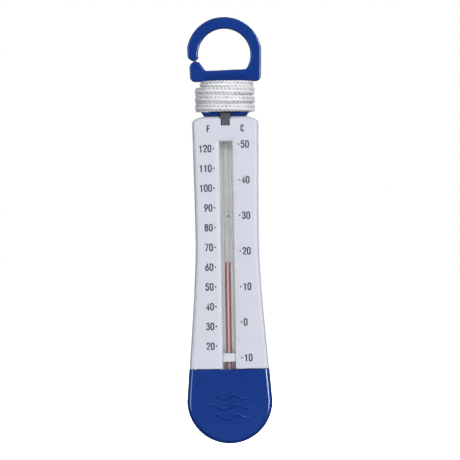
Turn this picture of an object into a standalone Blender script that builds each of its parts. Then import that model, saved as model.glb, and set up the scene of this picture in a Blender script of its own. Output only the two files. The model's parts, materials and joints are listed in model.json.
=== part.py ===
"""Floating pool thermometer: a snap hook with a cord spool, a two-shell float, a spirit tube in
a front channel and a weighted cap round the bulb.

Metres, +Z up, the scale faces -Y and +X is to the right of the scale. The origin is the hang
point, the top of the inside of the hook. Heights in this file are measured up from the lowest
point of the cap, and every piece hangs from an empty placed there.
"""

import math

import bmesh
import bpy

MM = 0.001
GAP = 0.3 * MM

# Hook: a flat moulded ring, open at the left, on a bar that closes the spool
HANG_HEIGHT = 194.6 * MM
RING_HEIGHT = 182.3 * MM
RING_INNER = HANG_HEIGHT - RING_HEIGHT
RING_OUTER = 17.7 * MM
RING_SIDE = 17.4 * MM
HOOK_DEPTH = 6.0 * MM
HOOK_RIM = 0.7 * MM
BAR_BOTTOM = 169.7 * MM
FLEX_X = (RING_SIDE + RING_INNER) / 2
FLEX_RADIUS = (RING_SIDE - RING_INNER) / 2
FLEX_SHOULDER = 1.6 * MM
HOOK_SPLIT = 179.34 * MM

# Spool, flange and plug under the bar
CORE_WIDTH = 14.1 * MM
CORE_DEPTH = 10.4 * MM
CORE_TOP = BAR_BOTTOM + 0.2 * MM
FLANGE_HALF = 7.5 * MM
FLANGE_TOP = 155.2 * MM
FLANGE_BOTTOM = 153.4 * MM
PLUG_BOTTOM = 145.0 * MM
PLUG_WIDTH = 19.0 * MM
PLUG_DEPTH = 9.0 * MM
PLUG_WALL = 1.4 * MM

# Cord: two layers of turns over the spool's core. Its tail turns down from the last turn and
# lies on the housing's back, with a barrel knot at its end.
CORD = 3.6 * MM
CORD_HOLE = 2.1 * MM
CORD_HOLE_X = 0.2 * MM
CORD_HOLE_HEIGHT = 159.2 * MM
WINDING_DEPTH = CORE_DEPTH / 2 + 2 * CORD
TAIL_X = 5.0 * MM
TAIL_HEIGHT = 157.3 * MM
TAIL_BEND = 7.5 * MM
TAIL_CLEAR_ANGLE = 56
KNOT_RADIUS = 4.3 * MM
KNOT_HALF = 5.2 * MM
KNOT_TOP = 147.0 * MM

# Float housing: two shells that meet on a plane a little behind the middle
HOUSING_TOP = 153.1 * MM
HOUSING_BOTTOM = 35.1 * MM
HOUSING_DEPTH = 17.0 * MM
HOUSING_RIM = 2.2 * MM
WAIST_HEIGHT = 95.0 * MM
WAIST_HALF = 14.8 * MM
SPLIT_Y = 1.0 * MM
WALL = 1.6 * MM
SPIGOT_BOTTOM = 26.0 * MM
CAVITY_BOTTOM = 28.0 * MM
CAVITY_TOP = 151.5 * MM
KEEL_HALF = 5.8 * MM
KEEL_BACK = 0.5 * MM
KEEL_TOP = 144.6 * MM
TROUGH_HALF = 5.7 * MM
TROUGH_FOOT = 3.2 * MM
TROUGH_DEPTH = 1.0 * MM
TROUGH_TOP = 143.6 * MM
CHANNEL_TOP = 142.9 * MM

# Notch in the top of the front shell, and the grey wedge pressed into it
NOTCH_BOTTOM = 148.8 * MM
NOTCH_HALF = 2.1 * MM
NOTCH_FLARE = 2.7 * MM
WEDGE_TOP = 154.9 * MM

# Cap: a flat cup with a half-round bottom
CAP_TOP = 34.7 * MM
CAP_RADIUS = 20.0 * MM
CAP_TOP_HALF = 18.8 * MM
CAP_DEPTH = 17.6 * MM
CAP_RIM = 2.6 * MM
SLOT_WIDTH = 2.4 * MM
SLOT_PITCH = 6.0 * MM
BALLAST_TOP = 8.0 * MM

# Spirit tube
TUBE_Y = -4.1 * MM
TUBE_RADIUS = 2.75 * MM
BORE_RADIUS = 1.0 * MM
BULB_BORE = 2.0 * MM
TUBE_BOTTOM = 10.7 * MM
TUBE_TOP = 141.5 * MM
BULB_TOP = 27.0 * MM
COLUMN_TOP = 84.8 * MM
CLIP_LOW = 38.4 * MM
CLIP_HIGH = 42.3 * MM
CLIP_HALF = 2.75 * MM
CLIP_LUG = 4.2 * MM
CLIP_LUG_FRONT = -6.6 * MM
CLIP_LUG_BACK = -5.5 * MM

ROUND = 32


# ---- outlines, as lists of (across, up) points, anticlockwise -------------------------------


def arc(x, z, radius, start, end, steps):
    """Points on a circle from one angle to another, in degrees, both ends included."""
    turn = [math.radians(start + (end - start) * i / steps) for i in range(steps + 1)]
    return [(x + radius * math.cos(a), z + radius * math.sin(a)) for a in turn]


def rounded(corners, steps=5):
    """An outline through corners (x, z, radius), each corner turned into an arc of its radius."""
    points = []
    for i, (x, z, radius) in enumerate(corners):
        if radius == 0:
            points.append((x, z))
            continue
        ax, az = corners[i - 1][:2]
        bx, bz = corners[(i + 1) % len(corners)][:2]
        into = math.atan2(z - az, x - ax)
        away = math.atan2(bz - z, bx - x)
        bend = (away - into + math.pi) % (2 * math.pi) - math.pi
        back = radius * math.tan(abs(bend) / 2)
        side = math.copysign(1, bend)
        cx = x - back * math.cos(into) - side * radius * math.sin(into)
        cz = z - back * math.sin(into) + side * radius * math.cos(into)
        start = math.degrees(into) - side * 90
        points += arc(cx, cz, radius, start, start + math.degrees(bend), steps)
    return points


def plain(points):
    """The same points as sharp corners for rounded()."""
    return [(x, z, 0) for x, z in points]


def rectangle(x_half, z_low, z_high):
    return [(-x_half, z_low), (x_half, z_low), (x_half, z_high), (-x_half, z_high)]


def stadium(x_half, y_half, steps=8):
    """Two half rounds joined by straight sides, for the spool and what is wound on it."""
    straight = x_half - y_half
    right = arc(straight, 0, y_half, -90, 90, steps)
    left = arc(-straight, 0, y_half, 90, 270, steps)
    return right + left


def half_width(z):
    """Half the housing's width: a waist that opens slowly upward and faster downward."""
    rise = z - WAIST_HEIGHT
    slope, blend = (0.017, 15 * MM) if rise > 0 else (0.085, 18 * MM)
    return WAIST_HALF + slope * (math.hypot(rise, blend) - blend)


def housing_outline(low, high, inset, shoulders=True):
    """Front outline of the housing between two heights, drawn in by inset."""
    steps = 12
    side_top = high - 1.5 * MM
    heights = [low + (side_top - low) * i / steps for i in range(steps + 1)]
    right = plain([(half_width(z) - inset, z) for z in heights[:-1]])
    if shoulders:
        corner = half_width(side_top) - inset
        right += [(corner, side_top, 2.6 * MM), (corner - 5.2 * MM, high, 6 * MM)]
    else:
        right.append((half_width(high) - inset, high, 0))
    left = [(-x, z, radius) for x, z, radius in reversed(right)]
    return rounded(right + left)


def cap_outline(inset, top):
    side = CAP_TOP_HALF - inset
    bottom = arc(0, CAP_RADIUS, CAP_RADIUS - inset, 180, 360, ROUND)
    return [(-side, top)] + bottom + [(side, top)]


def hook_outline():
    """The whole hook: bar, right column, ring, and the nose that closes onto the knob."""
    outer = arc(0, RING_HEIGHT, RING_OUTER, 10.5, 168, 32)
    inner = arc(0, RING_HEIGHT, RING_INNER, 180, -28, 36)
    corners = [(-16.2 * MM, BAR_BOTTOM, 2.6 * MM), (17.0 * MM, BAR_BOTTOM, 2.6 * MM)]
    corners += plain(outer)
    corners += [
        (-17.25 * MM, 180.9 * MM, 2.4 * MM),
        (-14.1 * MM, 179.15 * MM, 1.0 * MM),
        (-11.9 * MM, 180.9 * MM, 1.6 * MM),
    ]
    corners += plain(inner)
    corners += [
        (10.1 * MM, 175.42 * MM, 0.9 * MM),
        (-8.9 * MM, 174.85 * MM, 1.5 * MM),
        (-11.8 * MM, 179.2 * MM, 2.5 * MM),
        (-16.5 * MM, 179.2 * MM, 3.2 * MM),
    ]
    return rounded(corners)


# ---- solids ---------------------------------------------------------------------------------


def new_object(name, mesh, look=None, parent=None):
    piece = bpy.data.objects.new(name, mesh)
    bpy.context.scene.collection.objects.link(piece)
    piece.parent = parent
    if look:
        mesh.materials.append(look)
        mesh.shade_smooth()
        mesh.set_sharp_from_angle(angle=math.radians(35))
    else:
        piece.hide_render = True
        piece.display_type = "WIRE"
    return piece


def finished_mesh(name, bm):
    bmesh.ops.recalc_face_normals(bm, faces=bm.faces)
    mesh = bpy.data.meshes.new(name)
    bm.to_mesh(mesh)
    bm.free()
    return mesh


def slab(name, outline, low, high, rim=0, rim_steps=3, open_end=None, upright=False):
    """A mesh made by pushing an outline from low to high, with its two rims rounded.

    The outline lies in XZ and is pushed along Y; with upright it lies in XY and is pushed
    along Z. A rim edge that lies level at the height open_end stays sharp.
    """
    bm = bmesh.new()
    place = (lambda a, b, c: (a, b, c)) if upright else (lambda a, b, c: (a, c, b))
    ends = [[bm.verts.new(place(a, b, level)) for a, b in outline] for level in (low, high)]
    rims = []
    for end in ends:
        rims += bm.faces.new(end).edges
    for i, corner in enumerate(ends[0]):
        bm.faces.new((corner, ends[0][i - 1], ends[1][i - 1], ends[1][i]))
    bmesh.ops.recalc_face_normals(bm, faces=bm.faces)
    if rim:
        if open_end is not None:
            rims = [e for e in rims if any(abs(v.co.z - open_end) > 0.01 * MM for v in e.verts)]
        bmesh.ops.bevel(
            bm, geom=rims, offset=rim, segments=rim_steps, profile=0.5, affect="EDGES"
        )
    return finished_mesh(name, bm)


def turned(name, profile, steps=ROUND):
    """A mesh turned about Z from profile points (radius, height), both ends on the axis."""
    bm = bmesh.new()
    rings = []
    for radius, z in profile:
        count = steps if radius > 0 else 1
        turn = [2 * math.pi * i / steps for i in range(count)]
        rings.append([bm.verts.new((radius * math.cos(a), radius * math.sin(a), z)) for a in turn])
    for lower, upper in zip(rings, rings[1:]):
        for i in range(steps):
            j = (i + 1) % steps
            ring = [lower[i % len(lower)], lower[j % len(lower)]]
            ring += [upper[j % len(upper)], upper[i % len(upper)]]
            bm.faces.new(list(dict.fromkeys(ring)))
    return finished_mesh(name, bm)


def box(name, x, y, z):
    """A mesh with square corners between the limits given for each axis."""
    return slab(name, [(x[0], z[0]), (x[1], z[0]), (x[1], z[1]), (x[0], z[1])], *y)


def boolean(piece, tool, operation="DIFFERENCE"):
    step = piece.modifiers.new(operation.title() + "_" + tool.name, "BOOLEAN")
    step.operation = operation
    step.object = tool


def tool(name, mesh, parent):
    """A cutter, or a shape to be joined on, which isn't a piece of its own."""
    return new_object(name, mesh, None, parent)


def material(name, colour, roughness, metallic=0.0, alpha=1.0):
    look = bpy.data.materials.new(name)
    look.use_nodes = True
    shader = look.node_tree.nodes["Principled BSDF"]
    shader.inputs["Base Color"].default_value = (*colour, 1.0)
    shader.inputs["Roughness"].default_value = roughness
    shader.inputs["Metallic"].default_value = metallic
    shader.inputs["Alpha"].default_value = alpha
    return look


# ---- pieces ---------------------------------------------------------------------------------


def full_hook(name, look, parent):
    """The hook moulding before it is divided at the flex line."""
    mesh = slab(name, hook_outline(), -HOOK_DEPTH / 2, HOOK_DEPTH / 2, HOOK_RIM, 2)
    return new_object(name, mesh, look, parent)


def flex_pin(name, radius, parent):
    """A round along Y through the flex axis."""
    round_outline = arc(FLEX_X, RING_HEIGHT, radius, 0, 360, ROUND)[:-1]
    return tool(name, slab(name, round_outline, -8 * MM, 8 * MM), parent)


def add_hook_arm(look, root):
    """The springy ring: it ends in a round knuckle on the flex axis."""
    far = 25 * MM
    axis = bpy.data.objects.new("hook_flex_axis", None)
    bpy.context.scene.collection.objects.link(axis)
    axis.parent = root
    axis.location = (FLEX_X, 0, RING_HEIGHT)
    arm = full_hook("hook_arm", look, axis)
    arm.location = (-FLEX_X, 0, -RING_HEIGHT)
    column = tool("arm_below_knuckle", box("arm_below_knuckle", (0, far), (-far, far),
                                           (HOOK_SPLIT - MM, RING_HEIGHT)), root)
    boolean(column, flex_pin("knuckle", FLEX_RADIUS, root))
    boolean(arm, column)
    below = box("arm_below_nose", (-far, far), (-far, far), (160 * MM, HOOK_SPLIT + GAP / 2))
    boolean(arm, tool("arm_below_nose", below, root))


def add_hook_base(look, root):
    """The bar with its knob, the spool core, the flange and the hollow plug, as one moulding."""
    far = 25 * MM
    base = full_hook("hook_base", look, root)
    left = box("base_above_knob", (-far, 0), (-far, far), (HOOK_SPLIT, 210 * MM))
    boolean(base, tool("base_above_knob", left, root))
    shoulder = RING_HEIGHT - FLEX_SHOULDER
    right = box("base_above_shoulder", (-MM, far), (-far, far), (shoulder, 210 * MM))
    boolean(base, tool("base_above_shoulder", right, root))
    boolean(base, flex_pin("knuckle_room", FLEX_RADIUS + GAP, root))

    core_outline = stadium(CORE_WIDTH / 2, CORE_DEPTH / 2)
    core = slab("core", core_outline, FLANGE_BOTTOM, CORE_TOP, upright=True)
    boolean(base, tool("core", core, root), "UNION")
    flange_outline = [
        (-PLUG_WIDTH / 2 - 0.4 * MM, FLANGE_BOTTOM),
        (PLUG_WIDTH / 2 + 0.4 * MM, FLANGE_BOTTOM),
        (11.1 * MM, FLANGE_TOP),
        (-11.1 * MM, FLANGE_TOP),
    ]
    flange = slab("flange", flange_outline, -FLANGE_HALF, FLANGE_HALF, 0.4 * MM, 2)
    boolean(base, tool("flange", flange, root), "UNION")
    side = NOTCH_FLARE + GAP
    room = box("wedge_room", (-side, side), (-far, -CORE_DEPTH / 2), (PLUG_BOTTOM, FLANGE_TOP + MM))
    boolean(base, tool("wedge_room", room, root))
    plug_outline = rectangle(PLUG_WIDTH / 2, PLUG_BOTTOM, FLANGE_TOP - 0.5 * MM)
    plug = slab("plug", plug_outline, -PLUG_DEPTH / 2, PLUG_DEPTH / 2)
    boolean(base, tool("plug", plug, root), "UNION")
    hollow_outline = rectangle(PLUG_WIDTH / 2 - PLUG_WALL, PLUG_BOTTOM - MM, FLANGE_BOTTOM - PLUG_WALL)
    hollow_half = PLUG_DEPTH / 2 - PLUG_WALL
    hollow = slab("plug_hollow", hollow_outline, -hollow_half, hollow_half)
    boolean(base, tool("plug_hollow", hollow, root))
    hole = arc(CORD_HOLE_X, CORD_HOLE_HEIGHT, CORD_HOLE, 0, 360, 16)[:-1]
    boolean(base, tool("cord_hole", slab("cord_hole", hole, -8 * MM, 8 * MM), root))


def tail_points():
    """The tail's line: a quarter turn from along the winding to straight down, moving backward."""
    start_y = WINDING_DEPTH - CORD / 2
    knot_y = HOUSING_DEPTH / 2 + GAP + KNOT_RADIUS
    bend = [math.radians(TAIL_CLEAR_ANGLE + (90 - TAIL_CLEAR_ANGLE) * i / 4) for i in range(5)]
    arc_length = TAIL_BEND * math.pi / 2
    straight = TAIL_HEIGHT - TAIL_BEND - KNOT_TOP - GAP
    run = [(TAIL_BEND * math.sin(a), TAIL_BEND * (1 - math.cos(a)), TAIL_BEND * a) for a in bend]
    run += [(TAIL_BEND, TAIL_BEND + straight * i / 2, arc_length + straight * i / 2) for i in (1, 2)]
    points = []
    for left, down, travelled in run:
        share = travelled / (arc_length + straight)
        back = share * share * (3 - 2 * share)
        points.append((TAIL_X - left, start_y + (knot_y - start_y) * back, TAIL_HEIGHT - down))
    return points


def add_cord(look, root):
    """The wound cord as one ring, its inner end in the core's hole, its tail and its end knot."""
    winding_half = CORE_WIDTH / 2 + 2 * CORD
    low = FLANGE_TOP + GAP
    high = BAR_BOTTOM - GAP
    outline = stadium(winding_half, WINDING_DEPTH, 12)
    mesh = slab("cord_winding", outline, low, high, CORD / 2, 3, upright=True)
    winding = new_object("cord_winding", mesh, look, root)
    room = stadium(CORE_WIDTH / 2 + GAP, CORE_DEPTH / 2 + GAP)
    mesh = slab("core_room", room, low - MM, high + MM, upright=True)
    boolean(winding, tool("core_room", mesh, root))

    end = arc(CORD_HOLE_X, CORD_HOLE_HEIGHT, CORD_HOLE - GAP, 0, 360, 12)[:-1]
    mesh = slab("cord_anchor_end", end, -CORE_DEPTH / 2, CORE_DEPTH / 2)
    new_object("cord_anchor_end", mesh, look, root)

    route = tail_points()
    line = bpy.data.curves.new("cord_tail", "CURVE")
    line.dimensions = "3D"
    line.bevel_depth = CORD / 2
    line.bevel_resolution = 2
    line.use_fill_caps = True
    spline = line.splines.new("POLY")
    spline.points.add(len(route) - 1)
    for point, place in zip(spline.points, route):
        point.co = (*place, 1)
    line.materials.append(look)
    tail = bpy.data.objects.new("cord_tail", line)
    bpy.context.scene.collection.objects.link(tail)
    tail.parent = root

    corner = 1.5 * MM
    end_round = arc(KNOT_RADIUS - corner, KNOT_HALF - corner, corner, 0, 90, 4)
    start_round = [(r, -z) for r, z in reversed(end_round)]
    profile = [(0, -KNOT_HALF)] + start_round + end_round + [(0, KNOT_HALF)]
    knot = new_object("cord_end_knot", turned("cord_end_knot", profile, 18), look, root)
    knot.location = (*route[-1][:2], KNOT_TOP - KNOT_HALF)


def housing_block(name, look, root):
    """The outside of the housing with the spigot that the cap slides onto."""
    outline = housing_outline(HOUSING_BOTTOM, HOUSING_TOP, 0)
    mesh = slab(name, outline, -HOUSING_DEPTH / 2, HOUSING_DEPTH / 2, HOUSING_RIM, 4,
                open_end=HOUSING_BOTTOM)
    block = new_object(name, mesh, look, root)
    inset = WALL + GAP
    outline = housing_outline(SPIGOT_BOTTOM, HOUSING_BOTTOM + 4 * MM, inset, shoulders=False)
    half = CAP_DEPTH / 2 - inset
    spigot = slab(name + "_spigot", outline, -half, half)
    boolean(block, tool(name + "_spigot", spigot, root), "UNION")
    return block


def housing_cavity(name, root):
    outline = housing_outline(CAVITY_BOTTOM, CAVITY_TOP, WALL + GAP + WALL)
    half = HOUSING_DEPTH / 2 - WALL
    return tool(name, slab(name, outline, -half, half), root)


def plug_hole(name, root):
    """Room for the hook's plug through the top of both shells."""
    half = PLUG_DEPTH / 2 + GAP
    outline = rectangle(PLUG_WIDTH / 2 + GAP, CAVITY_TOP - 4 * MM, HOUSING_TOP + 4 * MM)
    return tool(name, slab(name, outline, -half, half), root)


def notch_outline(inset):
    flare_height = NOTCH_BOTTOM + 2.8 * MM
    top = HOUSING_TOP + 3 * MM if inset == 0 else WEDGE_TOP
    half = NOTCH_HALF - inset
    flare = NOTCH_FLARE - inset
    right = [(half, NOTCH_BOTTOM + inset), (half, flare_height)]
    right += [(flare, HOUSING_TOP - 0.6 * MM), (flare, top)]
    return right + [(-x, z) for x, z in reversed(right)]


def add_front_housing(look, root):
    far = 30 * MM
    shell = housing_block("front_housing", look, root)
    cavity = housing_cavity("front_cavity", root)
    keel = box("keel", (-KEEL_HALF, KEEL_HALF), (-far, KEEL_BACK), (20 * MM, KEEL_TOP))
    boolean(cavity, tool("keel", keel, root))
    boolean(shell, cavity)
    face = -HOUSING_DEPTH / 2
    section = [(TROUGH_HALF, face - MM), (TROUGH_HALF, face), (TROUGH_FOOT, face + TROUGH_DEPTH)]
    section += [(-x, y) for x, y in reversed(section)]
    trough = slab("trough", section, 20 * MM, TROUGH_TOP, upright=True)
    boolean(shell, tool("trough", trough, root))
    reach = TUBE_RADIUS + GAP
    groove = [(reach, -far), (reach, 0)] + arc(0, 0, reach, 0, 180, 16)[1:-1]
    groove += [(-reach, 0), (-reach, -far)]
    groove = [(x, y + TUBE_Y) for x, y in groove]
    channel = slab("channel", groove, 20 * MM, CHANNEL_TOP, upright=True)
    boolean(shell, tool("channel", channel, root))
    slots = box("clip_slots", (-CLIP_LUG - GAP, CLIP_LUG + GAP),
                (CLIP_LUG_FRONT - GAP, CLIP_LUG_BACK + GAP), (CLIP_LOW - GAP, CLIP_HIGH + GAP))
    boolean(shell, tool("clip_slots", slots, root))
    notch = slab("notch", notch_outline(0), face - far, -5.0 * MM)
    boolean(shell, tool("notch", notch, root))
    boolean(shell, plug_hole("front_plug_hole", root))
    behind = box("behind_split", (-far, far), (SPLIT_Y - GAP / 2, far), (0, 200 * MM))
    boolean(shell, tool("behind_split", behind, root))


def add_rear_housing(look, root):
    far = 30 * MM
    shell = housing_block("rear_housing", look, root)
    boolean(shell, housing_cavity("rear_cavity", root))
    boolean(shell, plug_hole("rear_plug_hole", root))
    ahead = box("ahead_of_split", (-far, far), (-far, SPLIT_Y + GAP / 2), (0, 200 * MM))
    boolean(shell, tool("ahead_of_split", ahead, root))


def add_housing_inserts(foam, rubber, root):
    """The foam core, the gasket round the plug and the grey wedge in the notch."""
    clear = WALL + GAP + WALL + 2 * GAP
    outline = housing_outline(CAVITY_BOTTOM + 2 * MM, 140 * MM, clear)
    new_object("float_core", slab("float_core", outline, 1.6 * MM, 6.3 * MM), foam, root)

    ring = 2.0 * MM
    hole_x = PLUG_WIDTH / 2 + GAP
    hole_y = PLUG_DEPTH / 2 + GAP
    levels = (146.4 * MM, 148.0 * MM)
    outer = [(-hole_x - ring, -hole_y - ring, ring), (hole_x + ring, -hole_y - ring, ring)]
    outer += [(hole_x + ring, hole_y + ring, ring), (-hole_x - ring, hole_y + ring, ring)]
    mesh = slab("neck_gasket", rounded(outer), *levels, upright=True)
    gasket = new_object("neck_gasket", mesh, rubber, root)
    hole = box("gasket_hole", (-hole_x, hole_x), (-hole_y, hole_y), (140 * MM, 150 * MM))
    boolean(gasket, tool("gasket_hole", hole, root))

    face = -HOUSING_DEPTH / 2
    wedge = slab("neck_wedge", notch_outline(GAP), face + 0.5 * MM, -CORE_DEPTH / 2 - GAP)
    new_object("neck_wedge", wedge, rubber, root)


def add_cap(blue, steel, rubber, root):
    """The cap with its water slots at the back, the weight in it and the rubber seat of the bulb."""
    half = CAP_DEPTH / 2
    mesh = slab("bottom_cap", cap_outline(0, CAP_TOP), -half, half, CAP_RIM, 4, open_end=CAP_TOP)
    cap = new_object("bottom_cap", mesh, blue, root)
    inner = half - WALL
    hollow = slab("cap_hollow", cap_outline(WALL, CAP_TOP + MM), -inner, inner)
    boolean(cap, tool("cap_hollow", hollow, root))
    for i in (-1, 0, 1):
        side = SLOT_WIDTH / 2
        name = "water_slot_%d" % (i + 2)
        slot = box(name, (i * SLOT_PITCH - side, i * SLOT_PITCH + side), (half - 4 * MM, half + MM),
                   (12 * MM, 24 * MM))
        boolean(cap, tool(name, slot, root))

    radius = CAP_RADIUS - WALL - GAP
    edge = math.degrees(math.acos((CAP_RADIUS - BALLAST_TOP) / radius))
    outline = arc(0, CAP_RADIUS, radius, 270 - edge, 270 + edge, 18)
    new_object("ballast_weight", slab("ballast_weight", outline, -inner + GAP, inner - GAP), steel, root)

    pad = [(0, BALLAST_TOP + GAP), (2.9 * MM, BALLAST_TOP + GAP)]
    pad += [(2.9 * MM, TUBE_BOTTOM - GAP), (0, TUBE_BOTTOM - GAP)]
    seat = new_object("bulb_seat", turned("bulb_seat", pad, 20), rubber, root)
    seat.location = (0, TUBE_Y, 0)


def add_tube(glass, spirit, white, root):
    """The glass with its bulb, its closed tip, the spirit in it and the strap that holds it."""
    nose = 1.2 * MM
    tube = [(0, TUBE_BOTTOM), (TUBE_RADIUS - nose, TUBE_BOTTOM)]
    tube += [(TUBE_RADIUS - 0.35 * MM, TUBE_BOTTOM + 0.35 * MM), (TUBE_RADIUS, TUBE_BOTTOM + nose)]
    tube += [(TUBE_RADIUS, TUBE_TOP - 0.3 * MM), (TUBE_RADIUS - 0.3 * MM, TUBE_TOP)]
    tube += [(BORE_RADIUS, TUBE_TOP), (BORE_RADIUS, BULB_TOP), (BULB_BORE, BULB_TOP - 1.5 * MM)]
    tube += [(BULB_BORE, TUBE_BOTTOM + 1.6 * MM), (0, TUBE_BOTTOM + 1.2 * MM)]
    pieces = [new_object("glass_tube", turned("glass_tube", tube), glass, root)]

    stem = BORE_RADIUS - GAP
    tip = [(0, TUBE_TOP - 0.9 * MM), (stem, TUBE_TOP - 0.9 * MM), (stem, TUBE_TOP + GAP)]
    tip += [(TUBE_RADIUS - 0.5 * MM, TUBE_TOP + GAP), (TUBE_RADIUS - 0.8 * MM, TUBE_TOP + 0.8 * MM)]
    tip += [(0, TUBE_TOP + 1.1 * MM)]
    pieces.append(new_object("tube_tip", turned("tube_tip", tip), glass, root))

    low = TUBE_BOTTOM + 1.6 * MM + GAP
    high = BULB_TOP - 1.5 * MM
    pool = [(0, low), (BULB_BORE - GAP, low), (BULB_BORE - GAP, high)]
    pool += [(stem, high + MM), (0, high + MM)]
    pieces.append(new_object("spirit_reservoir", turned("spirit_reservoir", pool, 20), spirit, root))
    for piece in pieces:
        piece.location = (0, TUBE_Y, 0)

    column_bottom = high + MM + GAP
    height = COLUMN_TOP - column_bottom
    column = [(0, 0), (stem, 0), (stem, height), (0, height)]
    moving = new_object("spirit_column", turned("spirit_column", column, 16), spirit, root)
    moving.location = (0, TUBE_Y, column_bottom)

    reach = TUBE_RADIUS + GAP
    face = -HOUSING_DEPTH / 2 + 0.5 * MM
    lug_angle = math.degrees(math.asin((TUBE_Y - CLIP_LUG_BACK) / reach))
    under = arc(0, TUBE_Y, reach, 360 - lug_angle, 180 + lug_angle, 14)
    clip = [(-CLIP_HALF, face, 0.4 * MM), (CLIP_HALF, face, 0.4 * MM)]
    clip += plain([(CLIP_HALF, CLIP_LUG_FRONT), (CLIP_LUG, CLIP_LUG_FRONT), (CLIP_LUG, CLIP_LUG_BACK)])
    clip += plain(under)
    clip += plain([(-CLIP_LUG, CLIP_LUG_BACK), (-CLIP_LUG, CLIP_LUG_FRONT), (-CLIP_HALF, CLIP_LUG_FRONT)])
    mesh = slab("tube_clip", rounded(clip), CLIP_LOW, CLIP_HIGH, upright=True)
    new_object("tube_clip", mesh, white, root)


def main():
    for leftover in list(bpy.data.objects):
        bpy.data.objects.remove(leftover, do_unlink=True)

    blue = material("blue_plastic", (0.012, 0.038, 0.25), 0.3)
    white = material("white_plastic", (0.66, 0.67, 0.74), 0.42)
    cord = material("white_cord", (0.72, 0.72, 0.75), 0.85)
    glass = material("glass", (0.55, 0.57, 0.58), 0.08, alpha=0.4)
    spirit = material("red_spirit", (0.42, 0.02, 0.03), 0.25)
    rubber = material("grey_rubber", (0.09, 0.085, 0.1), 0.7)
    foam = material("white_foam", (0.8, 0.8, 0.78), 0.95)
    steel = material("ballast_steel", (0.45, 0.45, 0.46), 0.4, metallic=1.0)

    root = bpy.data.objects.new("lowest_point", None)
    bpy.context.scene.collection.objects.link(root)
    root.location = (0, 0, -HANG_HEIGHT)

    add_hook_arm(blue, root)
    add_hook_base(blue, root)
    add_cord(cord, root)
    add_front_housing(white, root)
    add_rear_housing(white, root)
    add_housing_inserts(foam, rubber, root)
    add_cap(blue, steel, rubber, root)
    add_tube(glass, spirit, white, root)


main()
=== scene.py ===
"""The looks of the floating pool thermometer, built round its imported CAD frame.

Metres, +Z up, the scale faces -Y. Pieces are modelled in heights above the cap's lowest point,
as the CAD is, and are let down to the frame by LOW when they are placed.
"""

import json
import math

import bmesh
import bpy
import numpy as np
from mathutils import Matrix, Vector

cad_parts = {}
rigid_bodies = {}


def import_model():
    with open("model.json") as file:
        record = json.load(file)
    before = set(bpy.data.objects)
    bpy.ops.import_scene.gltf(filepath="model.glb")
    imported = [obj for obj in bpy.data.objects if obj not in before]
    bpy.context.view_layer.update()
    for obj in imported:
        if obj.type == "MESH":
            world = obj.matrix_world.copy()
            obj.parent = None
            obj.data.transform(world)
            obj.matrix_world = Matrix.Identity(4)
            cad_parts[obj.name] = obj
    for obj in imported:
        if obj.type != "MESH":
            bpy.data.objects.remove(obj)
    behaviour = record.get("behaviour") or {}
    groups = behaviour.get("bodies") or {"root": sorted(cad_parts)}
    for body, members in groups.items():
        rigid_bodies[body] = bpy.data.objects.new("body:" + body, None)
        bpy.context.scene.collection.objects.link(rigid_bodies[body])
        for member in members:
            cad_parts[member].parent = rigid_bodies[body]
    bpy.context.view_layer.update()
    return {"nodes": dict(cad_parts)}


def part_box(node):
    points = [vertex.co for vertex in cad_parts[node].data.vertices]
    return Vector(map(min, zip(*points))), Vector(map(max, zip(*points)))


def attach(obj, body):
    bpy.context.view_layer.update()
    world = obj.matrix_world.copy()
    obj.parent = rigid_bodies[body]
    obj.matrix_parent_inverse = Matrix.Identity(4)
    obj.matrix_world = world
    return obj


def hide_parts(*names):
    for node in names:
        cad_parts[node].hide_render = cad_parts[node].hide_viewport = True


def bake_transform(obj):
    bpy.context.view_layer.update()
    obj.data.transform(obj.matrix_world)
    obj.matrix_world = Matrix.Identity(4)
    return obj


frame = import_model()

MM = 0.001
GAP = 0.3 * MM
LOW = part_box("bottom_cap")[0].z
FLOAT = "float_body"

# Hook
HANG_HEIGHT = -LOW
RING_HEIGHT = 182.3 * MM
RING_INNER = HANG_HEIGHT - RING_HEIGHT
RING_OUTER = 17.7 * MM
HOOK_HALF = 3.0 * MM
HOOK_RIM = 0.85 * MM
BAR_BOTTOM = 169.7 * MM
HOOK_SEAM = 177.0 * MM
NOSE_GAP_HEIGHT = 179.33 * MM

# Spool
CORE_HALF = 7.05 * MM
CORE_DEPTH = 5.2 * MM
FLANGE_TOP = 155.2 * MM
FLANGE_BOTTOM = 153.4 * MM
FLANGE_HALF = 7.5 * MM
PLUG_BOTTOM = 145.0 * MM
PLUG_HALF = 9.5 * MM
PLUG_DEPTH = 4.5 * MM
PLUG_WALL = 1.4 * MM

# Cord
CORD = 3.6 * MM
CORD_HOLE = 2.1 * MM
CORD_HOLE_X = 0.2 * MM
CORD_HOLE_HEIGHT = 159.2 * MM
FIRST_LAYER = CORE_DEPTH + 1.85 * MM
SECOND_LAYER = CORE_DEPTH + 5.35 * MM
CORE_STRAIGHT = CORE_HALF - CORE_DEPTH
LEFT_ROWS = [167.8 * MM, 164.9 * MM, 161.2 * MM, 157.35 * MM]
RIGHT_ROWS = [167.8 * MM, 167.9 * MM, 165.2 * MM, 161.2 * MM, 157.2 * MM]
TAIL_X = 5.0 * MM
TAIL_HEIGHT = 157.3 * MM
TAIL_BEND = 7.5 * MM
KNOT_TOP = 147.0 * MM
KNOT_HALF = 5.2 * MM
KNOT_RADIUS = 4.3 * MM
STRAND = 1.5 * MM
STITCH_COLUMNS = 6
STITCH_PITCH = 1.75 * MM
STITCH_SLANT = 0.95
BRAID_TURN = 400 * MM
SQUARENESS = 3.6
FLATTENING = 1.13

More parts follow.
